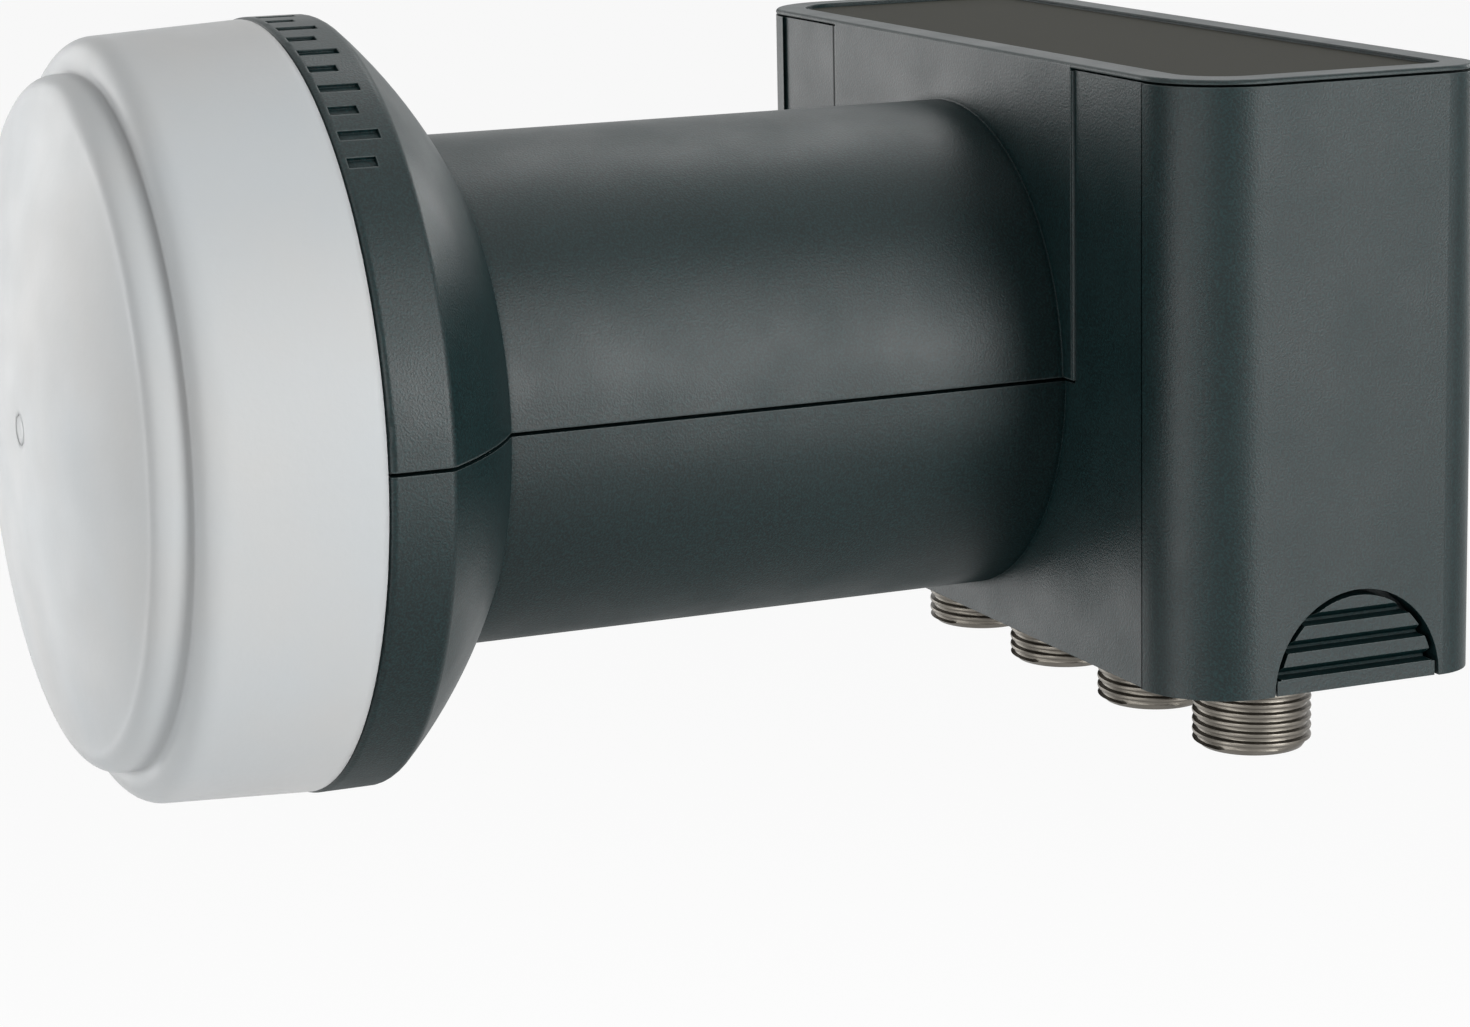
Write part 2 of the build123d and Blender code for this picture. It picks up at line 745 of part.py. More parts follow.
def make_lid_screws():
    """Six pan head screws of the rear lid, with cross recesses."""
    head_y = box_back_y + gasket_thickness + rear_lid_thickness
    screws = []
    for x, z in screw_places():
        head = rod_y(screw_head_diameter / 2, head_y, head_y + screw_head_height, x, z)
        head = fillet(head.edges().sort_by(Axis.Y)[-1], screw_head_soften)
        shank = rod_y(screw_diameter / 2, head_y - screw_length, head_y, x, z)
        recess_y = head_y + screw_head_height - screw_recess_depth
        cross = box_between(x - screw_recess_width / 2, x + screw_recess_width / 2, recess_y,
                            recess_y + overrun, z - screw_recess_bar / 2, z + screw_recess_bar / 2)
        cross += box_between(x - screw_recess_bar / 2, x + screw_recess_bar / 2, recess_y,
                             recess_y + overrun, z - screw_recess_width / 2, z + screw_recess_width / 2)
        screws.append(head + shank - cross)
    return Compound(children=screws)


def make_output(x):
    """F output: press-in shank, hexagon flange and plain thread cylinder with its bore."""
    flange_z = flange_top_z - flange_height
    body = rod_z(output_shank_diameter / 2, flange_top_z, box_under_z + box_wall, x, output_y)
    hexagon = RegularPolygon(flange_across_flats / 2, 6, major_radius=False)
    body += Pos(x, output_y, flange_z) * extrude(hexagon, flange_height)
    thread = rod_z(output_thread_diameter / 2, output_tip_z, flange_z, x, output_y)
    thread = chamfer(thread.edges().sort_by(Axis.Z)[0], output_tip_chamfer)
    body += thread
    body -= rod_z(output_bore_diameter / 2, output_tip_z + output_mouth_wall,
                  box_under_z + box_wall + overrun, x, output_y)
    body -= rod_z(output_mouth_diameter / 2, output_tip_z - overrun,
                  output_tip_z + output_mouth_wall + overrun, x, output_y)
    return body


def make_insulators():
    """White insulators that fill the bores of the outputs."""
    pieces = []
    for x in output_places():
        piece = rod_z(output_bore_diameter / 2 - fit_gap, output_tip_z + output_mouth_wall + fit_gap,
                      box_under_z + box_wall, x, output_y)
        piece -= rod_z(insulator_hole_diameter / 2, output_tip_z, box_under_z + box_wall + overrun,
                       x, output_y)
        pieces.append(piece)
    return Compound(children=pieces)


def make_contacts():
    """Spring contacts of the outputs, soldered to the front of the board."""
    low = output_tip_z + contact_inset
    high = box_under_z + box_wall + contact_rise
    pins = [rod_z(contact_radius, low, high, x, output_y) for x in output_places()]
    return Compound(children=pins)


def make_output_seals():
    """Flat rubber washers between the casting and the output flanges."""
    washers = []
    for x in output_places():
        washer = rod_z(flange_across_flats / 2, flange_top_z, box_under_z, x, output_y)
        washer -= rod_z(output_shank_diameter / 2 + fit_gap, flange_top_z - overrun, box_under_z + overrun,
                        x, output_y)
        washers.append(washer)
    return Compound(children=washers)


nodes = {
    "upper_shell": make_upper_shell(),
    "lower_shell": make_lower_shell(),
    "weather_sleeve": make_weather_sleeve(),
    "feed_cap": make_feed_cap(),
    "cap_seal": make_cap_seal(),
    "feed_casting": make_feed_casting(),
    "horizontal_probe": make_probe(True),
    "vertical_probe": make_probe(False),
    "probe_bushes": make_probe_bushes(),
    "circuit_board": make_circuit_board(),
    "shield_cover": make_shield_cover(),
    "switch_chip": make_switch_chip(),
    "crystal": make_crystal(),
    "regulators": make_regulators(),
    "supply_chokes": make_chokes(),
    "chip_capacitors": make_chip_capacitors(),
    "lid_gasket": make_lid_gasket(),
    "rear_lid": make_rear_lid(),
    "lid_screws": make_lid_screws(),
    "output_seals": make_output_seals(),
    "output_insulators": make_insulators(),
    "output_contacts": make_contacts(),
}
for number, x in enumerate(output_places(), start=1):
    nodes[f"f_output_{number}"] = make_output(x)

os.makedirs("parts", exist_ok=True)
for name, shape in nodes.items():
    export_step(shape, f"parts/{name}.step")
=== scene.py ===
import json
from math import cos, pi, radians, sin, tan, tau

import bmesh
import bpy
from mathutils import Matrix, Vector


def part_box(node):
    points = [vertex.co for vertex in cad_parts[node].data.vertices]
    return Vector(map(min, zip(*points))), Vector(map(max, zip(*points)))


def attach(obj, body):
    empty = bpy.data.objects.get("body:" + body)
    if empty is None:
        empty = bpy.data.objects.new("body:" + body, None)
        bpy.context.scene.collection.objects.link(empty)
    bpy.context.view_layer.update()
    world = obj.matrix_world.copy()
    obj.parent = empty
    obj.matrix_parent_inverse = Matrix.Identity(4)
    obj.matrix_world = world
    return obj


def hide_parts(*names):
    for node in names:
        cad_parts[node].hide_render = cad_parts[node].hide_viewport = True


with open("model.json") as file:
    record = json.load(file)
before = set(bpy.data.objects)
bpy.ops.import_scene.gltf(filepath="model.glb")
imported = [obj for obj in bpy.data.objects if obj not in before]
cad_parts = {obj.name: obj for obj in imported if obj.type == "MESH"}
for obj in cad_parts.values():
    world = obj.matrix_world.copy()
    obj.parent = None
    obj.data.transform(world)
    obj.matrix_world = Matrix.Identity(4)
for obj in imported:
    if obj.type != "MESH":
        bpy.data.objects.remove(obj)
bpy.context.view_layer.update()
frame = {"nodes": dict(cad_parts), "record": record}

bl_info = {
    "name": "Satellite LNB looks",
    "version": (1, 0, 0),
    "blender": (4, 5, 0),
    "location": "3D View > Sidebar > LNB",
    "description": "Camera, studio, finishes and detailed pieces of a satellite LNB",
    "category": "Object",
}

HOUSING = "housing"
SLEEVE = "sleeve"
OUTPUTS = [node for node in sorted(frame["nodes"]) if node.startswith("f_output_")]
OUTPUT_MOUNTS = {mount["name"]: mount for mount in frame["record"]["mounts"]}


# Settings that a user would change

class CameraSettings(bpy.types.PropertyGroup):
    """Where the camera stands, as in the photograph."""
    azimuth: bpy.props.FloatProperty(
        name="Azimuth", description="Turn round the object, 0 looks along +Y",
        default=radians(66.617), subtype="ANGLE")
    elevation: bpy.props.FloatProperty(
        name="Elevation", description="Height above the horizon",
        default=radians(10.683), subtype="ANGLE")
    roll: bpy.props.FloatProperty(
        name="Roll", description="Turn about the line of sight",
        default=radians(-1.132), subtype="ANGLE")
    distance: bpy.props.FloatProperty(
        name="Distance", description="From the camera to the point that it looks at",
        default=0.33107, unit="LENGTH", precision=5)
    aim: bpy.props.FloatVectorProperty(
        name="Aim", description="Point that the camera looks at",
        default=(-0.006276, 0.006374, -0.004444), unit="LENGTH", precision=6)
    lens: bpy.props.FloatProperty(
        name="Lens", description="Focal length in millimetres on a 36 mm wide sensor",
        default=98.006, min=1.0)
    rise: bpy.props.FloatProperty(
        name="Rise", description="Shift of the frame upwards, as a share of its width",
        default=-0.0772)


class StageSettings(bpy.types.PropertyGroup):
    """Floor, surroundings and lamps of the studio."""
    floor_drop: bpy.props.FloatProperty(
        name="Floor drop", description="How far the floor lies under the feed axis",
        default=0.45, unit="LENGTH")
    floor_radius: bpy.props.FloatProperty(
        name="Floor radius", description="Size of the round floor", default=6.0, unit="LENGTH")
    floor_colour: bpy.props.FloatVectorProperty(
        name="Floor colour", description="Pale paint of the floor",
        default=(0.86, 0.86, 0.86), subtype="COLOR", min=0.0, max=1.0)
    backdrop: bpy.props.FloatProperty(
        name="Backdrop", description="Brightness of the surroundings as the camera sees them",
        default=0.98, min=0.0)
    ambient: bpy.props.FloatProperty(
        name="Ambient", description="Brightness of the surroundings as a light",
        default=0.12, min=0.0)
    lamp_distance: bpy.props.FloatProperty(
        name="Lamp distance", description="From the object to each lamp",
        default=1.0, unit="LENGTH")
    lamp_size: bpy.props.FloatProperty(
        name="Lamp size", description="Diameter of each round softbox", default=0.45, unit="LENGTH")
    lamp_power: bpy.props.FloatProperty(
        name="Lamp power", description="Power that the lamps' shares are taken of",
        default=10.0, subtype="POWER")


class ShellSettings(bpy.types.PropertyGroup):
    """Moulded plastic of the two shells and the sleeve."""
    colour: bpy.props.FloatVectorProperty(
        name="Shell colour", description="Dark blue-green grey of the moulding",
        default=(0.0016, 0.0062, 0.0066), subtype="COLOR", min=0.0, max=1.0)
    # Edge tone: partly wear, partly a painted highlight where edges catch light.
    worn_and_lit_colour: bpy.props.FloatVectorProperty(
        name="Edge colour", description="Paler tone where edges are rubbed",
        default=(0.045, 0.058, 0.058), subtype="COLOR", min=0.0, max=1.0)
    # Lid field tone: paler and warmer than the moulding, a painted warm reflection.
    field_reflection_colour: bpy.props.FloatVectorProperty(
        name="Lid colour", description="Warmer tone of the smooth field in the lid",
        default=(0.037, 0.037, 0.031), subtype="COLOR", min=0.0, max=1.0)
    roughness: bpy.props.FloatProperty(
        name="Shell roughness", description="Mean roughness of the eroded texture",
        default=0.42, min=0.0, max=1.0)
    grain: bpy.props.FloatProperty(
        name="Shell grain", description="Width of a grain of the eroded texture",
        default=0.00017, unit="LENGTH", precision=5)
    grain_depth: bpy.props.FloatProperty(
        name="Grain depth", description="Depth of the eroded texture",
        default=0.000019, unit="LENGTH", precision=6)
    gloss: bpy.props.FloatProperty(
        name="Shell gloss", description="Strength of the reflections",
        default=0.265, min=0.0, max=1.0)
    field_height: bpy.props.FloatProperty(
        name="Field height", description="Level of the smooth field in the lid",
        default=0.02455, unit="LENGTH", precision=5)
    edge_round: bpy.props.FloatProperty(
        name="Edge round", description="Rounding that catches light along moulded edges",
        default=0.00022, unit="LENGTH", precision=5)
    # The dark line at this step is painted shade.
    recess_reach: bpy.props.FloatProperty(
        name="Recess reach", description="From the middle to the grimy step of the face recess",
        default=0.0324, unit="LENGTH", precision=5)
    saddle_reach: bpy.props.FloatProperty(
        name="Saddle reach", description="From the middle to the joint beside the saddle",
        default=0.0215, unit="LENGTH", precision=5)
    seam_reach: bpy.props.FloatProperty(
        name="Seam reach",
        description="From the middle to the shade beside the saddle's left joint",
        default=0.02224, unit="LENGTH", precision=5)
    saddle_face: bpy.props.FloatProperty(
        name="Saddle face", description="Place of the saddle's face along the feed axis",
        default=0.023, unit="LENGTH", precision=5)
    recess_step: bpy.props.FloatProperty(
        name="Recess step", description="From the saddle's face back to the recessed wall",
        default=0.00025, unit="LENGTH", precision=6)
    joint_foot: bpy.props.FloatProperty(
        name="Joint foot", description="Lower end of the joint beside the saddle",
        default=0.00015, unit="LENGTH", precision=5)
    joint_top: bpy.props.FloatProperty(
        name="Joint top", description="Upper end of the joint beside the saddle",
        default=0.0243, unit="LENGTH", precision=5)
    saddle_gap: bpy.props.FloatProperty(
        name="Saddle gap", description="Width of the joint beside the saddle",
        default=0.00012, unit="LENGTH", precision=6)
    seam_round: bpy.props.FloatProperty(
        name="Seam round", description="Sharper rounding of the walls along the seams",
        default=0.00009, unit="LENGTH", precision=5)
    line_width: bpy.props.FloatProperty(
        name="Line width", description="Width of the dark lines along the front's steps",
        default=0.00032, unit="LENGTH", precision=5)


class CapSettings(bpy.types.PropertyGroup):
    """Pale plastic of the feed cap."""
    colour: bpy.props.FloatVectorProperty(
        name="Cap colour", description="Light grey of the cap",
        default=(0.372, 0.382, 0.387), subtype="COLOR", min=0.0, max=1.0)
    roughness: bpy.props.FloatProperty(
        name="Cap roughness", description="Mean roughness of the cap",
        default=0.42, min=0.0, max=1.0)
    grain: bpy.props.FloatProperty(
        name="Cap grain", description="Width of the cap's fine texture",
        default=0.0006, unit="LENGTH", precision=5)
    edge_round: bpy.props.FloatProperty(
        name="Cap edge round", description="Soft rounding of the cap's steps",
        default=0.0009, unit="LENGTH", precision=5)
    gate_radius: bpy.props.FloatProperty(
        name="Gate radius", description="Radius of the dimple left by the mould's gate",
        default=0.0012, unit="LENGTH", precision=5)
    gate_depth: bpy.props.FloatProperty(
        name="Gate depth", description="Depth of that dimple",
        default=0.00035, unit="LENGTH", precision=6)
    gate_gap: bpy.props.FloatProperty(
        name="Gate gap", description="From the scar to the dimple's wall",
        default=0.00003, unit="LENGTH", precision=6)


class OutputSettings(bpy.types.PropertyGroup):
    """Threads and plating of the F outputs."""
    pitch: bpy.props.FloatProperty(
        name="Thread pitch", description="Height of one turn, 32 turns an inch",
        default=0.0254 / 32, unit="LENGTH", precision=6)
    depth: bpy.props.FloatProperty(
        name="Thread depth", description="From crest to root", default=0.00040,
        unit="LENGTH", precision=6)
    segments: bpy.props.IntProperty(
        name="Segments", description="Steps round the thread", default=90, min=24)
    plating: bpy.props.FloatVectorProperty(
        name="Plating colour", description="Warm nickel plate",
        default=(0.157, 0.145, 0.126), subtype="COLOR", min=0.0, max=1.0)


# Meshes

def piece_from(bm, name, material, body):
    """Object made of a finished bmesh, riding on a body."""
    mesh = bpy.data.meshes.new(name)
    bmesh.ops.remove_doubles(bm, verts=bm.verts, dist=1e-7)
    bmesh.ops.recalc_face_normals(bm, faces=bm.faces)
    bm.to_mesh(mesh)
    bm.free()
    piece = bpy.data.objects.new(name, mesh)
    bpy.context.scene.collection.objects.link(piece)
    mesh.materials.append(material)
    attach(piece, body)
    return piece


def smooth_by_angle(piece, angle):
    """Smooth faces that meet at less than an angle, and keep the other edges sharp."""
    mesh = piece.data
    mesh.shade_smooth()
    mesh.set_sharp_from_angle(angle=angle)


def ring(bm, centre, radius, z, segments):
    """Ring of points round an upright axis."""
    x, y = centre
    turns = [tau * i / segments for i in range(segments)]
    return [bm.verts.new((x + radius * cos(a), y + radius * sin(a), z)) for a in turns]


def join_rings(bm, lower, upper):
    """Quads between two rings with as many points."""
    count = len(lower)
    for i in range(count):
        k = (i + 1) % count
        bm.faces.new((lower[i], lower[k], upper[k], upper[i]))


def lathe(bm, centre, outline, segments, closed=True):
    """Body turned from an outline of (radius, z) points."""
    rings = [ring(bm, centre, radius, z, segments) for radius, z in outline]
    for lower, upper in zip(rings, rings[1:]):
        join_rings(bm, lower, upper)
    if closed:
        join_rings(bm, rings[-1], rings[0])
    return rings


def thread(bm, centre, crest, depth, pitch, top, low, segments):
    """Helical thread between two heights, running out into plain rings at both ends."""
    profile = (0.0, 0.10, 0.9, 1.0, 0.9, 0.10)
    steps = len(profile)
    rows = int(steps * ((top - low) / pitch + 3))
    x, y = centre
    points = []
    for row in range(rows):
        line = []
        for i in range(segments):
            turns = row / steps + i / segments - 1
            z = top - pitch * turns
            radius = crest - depth * (1 - profile[row % steps])
            if z >= top or z <= low:
                z = min(max(z, low), top)
                radius = crest - depth
            angle = tau * i / segments
            line.append(bm.verts.new((x + radius * cos(angle), y + radius * sin(angle), z)))
        points.append(line)
    for row in range(rows - 1):
        for i in range(segments - 1):
            bm.faces.new((points[row][i], points[row][i + 1],
                          points[row + 1][i + 1], points[row + 1][i]))
        if row + steps + 1 < rows:
            bm.faces.new((points[row][-1], points[row + steps][0],
                          points[row + steps + 1][0], points[row + 1][-1]))


def hexagon(bm, centre, flat, inner, top, low, segments):
    """Hexagon flange with corners chamfered at 30 degrees on both faces."""
    x, y = centre
    rings = {"top": [], "high": [], "deep": [], "foot": []}
    for i in range(segments):
        angle = tau * i / segments
        reach = flat / cos(angle % (pi / 3) - pi / 6)
        drop = (reach - flat) * tan(radians(30))
        heights = {"top": (flat, top), "high": (reach, top - drop),
                   "deep": (reach, low + drop), "foot": (flat, low)}
        for name, (radius, z) in heights.items():
            rings[name].append(bm.verts.new((x + radius * cos(angle), y + radius * sin(angle), z)))
    inner_top = ring(bm, centre, inner, top, segments)
    inner_low = ring(bm, centre, inner, low, segments)
    order = [inner_top, rings["top"], rings["high"], rings["deep"], rings["foot"], inner_low]
    for upper, lower in zip(order, order[1:]):
        join_rings(bm, lower, upper)
    join_rings(bm, inner_top, inner_low)


# Materials

def new_material(name):
    """Empty node material with its output."""
    material = bpy.data.materials.new(name)
    material.use_nodes = True
    tree = material.node_tree
    tree.nodes.clear()
    tree.nodes.new("ShaderNodeOutputMaterial")
    return material, tree


def add(tree, kind, **settings):
    """Node of a kind with its settings."""
    made = tree.nodes.new(kind)
    for name, value in settings.items():
        setattr(made, name, value)
    return made


def feed(tree, node, **inputs):
    """Sets or links a node's inputs: a socket is linked and anything else is a value."""
    for name, value in inputs.items():
        socket = node.inputs[name.replace("_", " ")]
        if isinstance(value, bpy.types.NodeSocket):
            tree.links.new(value, socket)
        else:
            socket.default_value = value
    return node


def place(tree):
    """The piece's own coordinates in metres."""
    return tree.nodes.new("ShaderNodeTexCoord").outputs["Object"]


def cloud(tree, where, size, detail=2.0, roughness=0.5):
    """Noise whose grains are as wide as size."""
    noise = feed(tree, add(tree, "ShaderNodeTexNoise"), Scale=1.0 / size, Detail=detail,
                 Roughness=roughness, Vector=where)
    return noise.outputs["Fac"]


def spread(tree, value, low, high, start=0.3, end=0.7):
    """A noise's middle stretch mapped to a range."""
    mapped = feed(tree, add(tree, "ShaderNodeMapRange"), Value=value, From_Min=start, From_Max=end,
                  To_Min=low, To_Max=high)
    return mapped.outputs["Result"]


def tint(tree, share, first, second):
    """Colour between two colours."""
    mix = add(tree, "ShaderNodeMix", data_type="RGBA")
    tree.links.new(share, mix.inputs["Factor"])
    for socket, colour in ((mix.inputs["A"], first), (mix.inputs["B"], second)):
        colours = [s for s in mix.inputs if s.name == socket.name and s.type == "RGBA"]
        if isinstance(colour, bpy.types.NodeSocket):
            tree.links.new(colour, colours[0])
        else:
            colours[0].default_value = (*colour, 1.0)
    return next(s for s in mix.outputs if s.type == "RGBA")


def bump(tree, height, depth, normal=None):
    """Normals of a relief of a real depth, over other normals."""
    made = feed(tree, add(tree, "ShaderNodeBump"), Strength=1.0, Distance=depth, Height=height)
    if normal is not None:
        tree.links.new(normal, made.inputs["Normal"])
    return made.outputs["Normal"]


def rounded(tree, radius):
    """Normals that round the edges, how much each spot belongs to an edge, and its openness."""
    nook_width = 0.0007
    bevel = feed(tree, add(tree, "ShaderNodeBevel", samples=6), Radius=radius)
    flat = tree.nodes.new("ShaderNodeNewGeometry").outputs["Normal"]
    match = add(tree, "ShaderNodeVectorMath", operation="DOT_PRODUCT")
    tree.links.new(bevel.outputs["Normal"], match.inputs[0])
    tree.links.new(flat, match.inputs[1])
    edge = spread(tree, match.outputs["Value"], 1.0, 0.0, 0.90, 0.995)
    room = feed(tree, add(tree, "ShaderNodeAmbientOcclusion", samples=4, only_local=True),
                Distance=nook_width)
    open_edge = add(tree, "ShaderNodeMath", operation="MULTIPLY")
    tree.links.new(edge, open_edge.inputs[0])
    tree.links.new(spread(tree, room.outputs["AO"], 0.0, 1.0, 0.75, 0.95), open_edge.inputs[1])
    return bevel.outputs["Normal"], open_edge.outputs[0], room.outputs["AO"]


def surface(tree, **inputs):
    """Principled surface linked to the output."""
    shader = feed(tree, tree.nodes.new("ShaderNodeBsdfPrincipled"), **inputs)
    out = next(n for n in tree.nodes if n.type == "OUTPUT_MATERIAL")
    tree.links.new(shader.outputs["BSDF"], out.inputs["Surface"])
    return shader


def level_face(tree, where, height):
    """One on faces that look up at a height, else zero."""
    margin = 0.0002
    up = tree.nodes.new("ShaderNodeSeparateXYZ")
    tree.links.new(tree.nodes.new("ShaderNodeNewGeometry").outputs["Normal"], up.inputs[0])
    place_up = tree.nodes.new("ShaderNodeSeparateXYZ")
    tree.links.new(where, place_up.inputs[0])
    near = add(tree, "ShaderNodeMath", operation="COMPARE")
    tree.links.new(place_up.outputs["Z"], near.inputs[0])
    near.inputs[1].default_value = height
    near.inputs[2].default_value = margin
    both = add(tree, "ShaderNodeMath", operation="MULTIPLY")
    tree.links.new(near.outputs[0], both.inputs[0])
    tree.links.new(spread(tree, up.outputs["Z"], 0.0, 1.0, 0.85, 0.95), both.inputs[1])
    return both.outputs[0]


def upright_line(tree, where, across, width):
    """One along an upright line on the front that lies across from the middle, else zero."""
    spot = tree.nodes.new("ShaderNodeSeparateXYZ")
    tree.links.new(where, spot.inputs[0])
    near = add(tree, "ShaderNodeMath", operation="COMPARE")
    tree.links.new(spot.outputs["X"], near.inputs[0])
    near.inputs[1].default_value = across
    near.inputs[2].default_value = width / 2
    facing = tree.nodes.new("ShaderNodeSeparateXYZ")
    tree.links.new(tree.nodes.new("ShaderNodeNewGeometry").outputs["Normal"], facing.inputs[0])
    both = add(tree, "ShaderNodeMath", operation="MULTIPLY")
    tree.links.new(near.outputs[0], both.inputs[0])
    tree.links.new(spread(tree, facing.outputs["Y"], 1.0, 0.0, -0.9, -0.5), both.inputs[1])
    return both.outputs[0]


def moulded_plastic(name, settings, edge_round, smooth_height=None, lines=()):
    """Dark eroded moulding: fine grain, uneven sheen, edges paler by wear and painted highlight,
    painted shade in corners and on steps.
    """
    blotch_width = 0.012
    sheen_width = 0.006
    material, tree = new_material(name)
    where = place(tree)
    dark = [0.86 * c for c in settings.colour]
    light = [1.14 * c for c in settings.colour]
    pale = [2.8 * c for c in settings.colour]
    shaded = [0.3 * c for c in settings.colour]
    blotch = cloud(tree, where, blotch_width, detail=3.0)
    speckle = cloud(tree, where, settings.grain, detail=1.0)
    normal, edge, room = rounded(tree, edge_round)
    colour = tint(tree, spread(tree, blotch, 0.0, 1.0), dark, light)
    fleck = tint(tree, spread(tree, speckle, 0.0, 1.0, 0.4, 0.7), colour, pale)
    # Paler open edges: partly wear, partly a painted highlight.
    rubbed_and_lit = tint(tree, edge, fleck, settings.worn_and_lit_colour)
    sheen = spread(tree, cloud(tree, where, sheen_width, detail=4.0),
                   settings.roughness - 0.04, settings.roughness + 0.04)
    # Duller reflections in inner corners found by ambient occlusion: painted shade.
    gloss = spread(tree, room, 0.3 * settings.gloss, settings.gloss, 0.55, 0.9)
    # Duller reflections on faces that look down: painted shade on the underside.
    facing = tree.nodes.new("ShaderNodeSeparateXYZ")
    tree.links.new(tree.nodes.new("ShaderNodeNewGeometry").outputs["Normal"], facing.inputs[0])
    gloss = spread(tree, facing.outputs["Z"], 0.0, gloss, -1.0, -0.3)
    # Painted shade: dark lines along the front's steps.
    for across in lines:
        line = upright_line(tree, where, across, settings.line_width)
        rubbed_and_lit = tint(tree, line, rubbed_and_lit, shaded)
        gloss = spread(tree, line, gloss, 0.1 * settings.gloss, 0.0, 1.0)
    if smooth_height is not None:
        # The lid's smooth field takes a paler, warmer colour: a painted reflection.
        smooth = level_face(tree, where, smooth_height)
        rubbed_and_lit = tint(tree, smooth, rubbed_and_lit, settings.field_reflection_colour)
        sheen = spread(tree, smooth, sheen, settings.roughness + 0.15, 0.0, 1.0)
        gloss = spread(tree, smooth, gloss, 0.05 * settings.gloss, 0.0, 1.0)
    relief = bump(tree, speckle, settings.grain_depth, normal)
    surface(tree, Base_Color=rubbed_and_lit, Roughness=sheen, Normal=relief, Specular_IOR_Level=gloss)
    return material


def cap_plastic(name, settings):
    """Pale satin moulding with soft flow marks and a fine grain."""
    flow_width = 0.018
    sheen_width = 0.005
    grain_depth = 0.000010
    material, tree = new_material(name)
    where = place(tree)
    cool = [c * f for c, f in zip(settings.colour, (0.97, 1.0, 1.02))]
    warm = [c * f for c, f in zip(settings.colour, (1.02, 1.0, 0.98))]
    flow = cloud(tree, where, flow_width, detail=3.0)
    fine = cloud(tree, where, settings.grain, detail=2.0)
    normal = rounded(tree, settings.edge_round)[0]
    colour = tint(tree, spread(tree, flow, 0.0, 1.0), cool, warm)
    sheen = spread(tree, cloud(tree, where, sheen_width, detail=3.0),
                   settings.roughness - 0.03, settings.roughness + 0.04)
    relief = bump(tree, fine, grain_depth, normal)
    surface(tree, Base_Color=colour, Roughness=sheen, Normal=relief, IOR=1.46,
            Specular_IOR_Level=0.25, Subsurface_Weight=0.06, Subsurface_Scale=0.003,
            Subsurface_Radius=(1.0, 0.95, 0.9))
    return material


def nickel_plate(name, settings):
    """Nickel plate with turning marks round the axis and soft stains."""
    mark_width = 0.00009
    mark_depth = 0.000006
    stain_width = 0.0022
    material, tree = new_material(name)
    where = place(tree)
    turned = add(tree, "ShaderNodeMapping")
    tree.links.new(where, turned.inputs["Vector"])
    turned.inputs["Scale"].default_value = (0.06, 0.06, 1.0)
    marks = cloud(tree, turned.outputs["Vector"], mark_width, detail=2.0)
    stain = cloud(tree, where, stain_width, detail=4.0)
    dull = [0.72 * c for c in settings.plating]
    colour = tint(tree, spread(tree, stain, 0.0, 1.0, 0.35, 0.7), settings.plating, dull)
    gloss = spread(tree, marks, 0.34, 0.50)
    surface(tree, Base_Color=colour, Metallic=1.0, Roughness=gloss,
            Normal=bump(tree, marks, mark_depth))
    return material


def cast_metal(name, colour, grain, depth, roughness):
    """Cast or rolled metal with a pebbled skin."""
    patch_width = 0.008
    edge_round = 0.0003
    material, tree = new_material(name)
    where = place(tree)
    pebble = cloud(tree, where, grain, detail=3.0, roughness=0.6)
    patch = cloud(tree, where, patch_width, detail=3.0)
    dull = [0.78 * c for c in colour]
    shade = tint(tree, spread(tree, patch, 0.0, 1.0), colour, dull)
    normal, edge = rounded(tree, edge_round)[:2]
    bright = tint(tree, edge, shade, [min(1.0, 1.2 * c) for c in colour])
    gloss = spread(tree, pebble, roughness - 0.07, roughness + 0.07)
    surface(tree, Base_Color=bright, Metallic=0.9, Roughness=gloss,
            Normal=bump(tree, pebble, depth, normal))
    return material


def plain_moulding(name, colour, roughness, grain):
    """Small moulded piece with a fine grain and soft blotches."""
    patch_width = 0.002
    grain_depth = 0.000010
    material, tree = new_material(name)
    where = place(tree)
    patch = cloud(tree, where, patch_width, detail=3.0)
    fine = cloud(tree, where, grain, detail=2.0)
    shade = tint(tree, spread(tree, patch, 0.0, 1.0), colour, [0.82 * c for c in colour])
    gloss = spread(tree, fine, roughness - 0.05, roughness + 0.06)
    surface(tree, Base_Color=shade, Roughness=gloss, Normal=bump(tree, fine, grain_depth), IOR=1.5)
    return material


def board_resist(name):
    """Solder resist over copper tracks, with bare solder dots."""
    track_depth = 0.00003
    gloss_width = 0.001
    material, tree = new_material(name)
    where = place(tree)
    turned = add(tree, "ShaderNodeMapping")
    tree.links.new(where, turned.inputs["Vector"])
    turned.inputs["Rotation"].default_value = (radians(90), 0.0, 0.0)
    tracks = feed(tree, add(tree, "ShaderNodeTexBrick", offset=0.37, squash=1.6),
                  Vector=turned.outputs["Vector"], Scale=260.0, Mortar_Size=0.03,
                  Color1=(0.030, 0.130, 0.055, 1.0), Color2=(0.024, 0.110, 0.046, 1.0),
                  Mortar=(0.060, 0.220, 0.090, 1.0))
    dots = feed(tree, add(tree, "ShaderNodeTexVoronoi", feature="F1"), Vector=where, Scale=330.0)
    pad = spread(tree, dots.outputs["Distance"], 1.0, 0.0, 0.16, 0.20)
    colour = tint(tree, pad, tracks.outputs["Color"], (0.55, 0.55, 0.53))
    gloss = spread(tree, cloud(tree, where, gloss_width), 0.25, 0.4)
    surface(tree, Base_Color=colour, Roughness=gloss,
            Normal=bump(tree, tracks.outputs["Fac"], track_depth))
    return material


def dress(nodes, material):
    """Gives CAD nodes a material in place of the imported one."""
    for node in nodes:
        slots = frame["nodes"][node].data.materials
        slots.clear()
        slots.append(material)


# Operators, one for each piece or group of like pieces

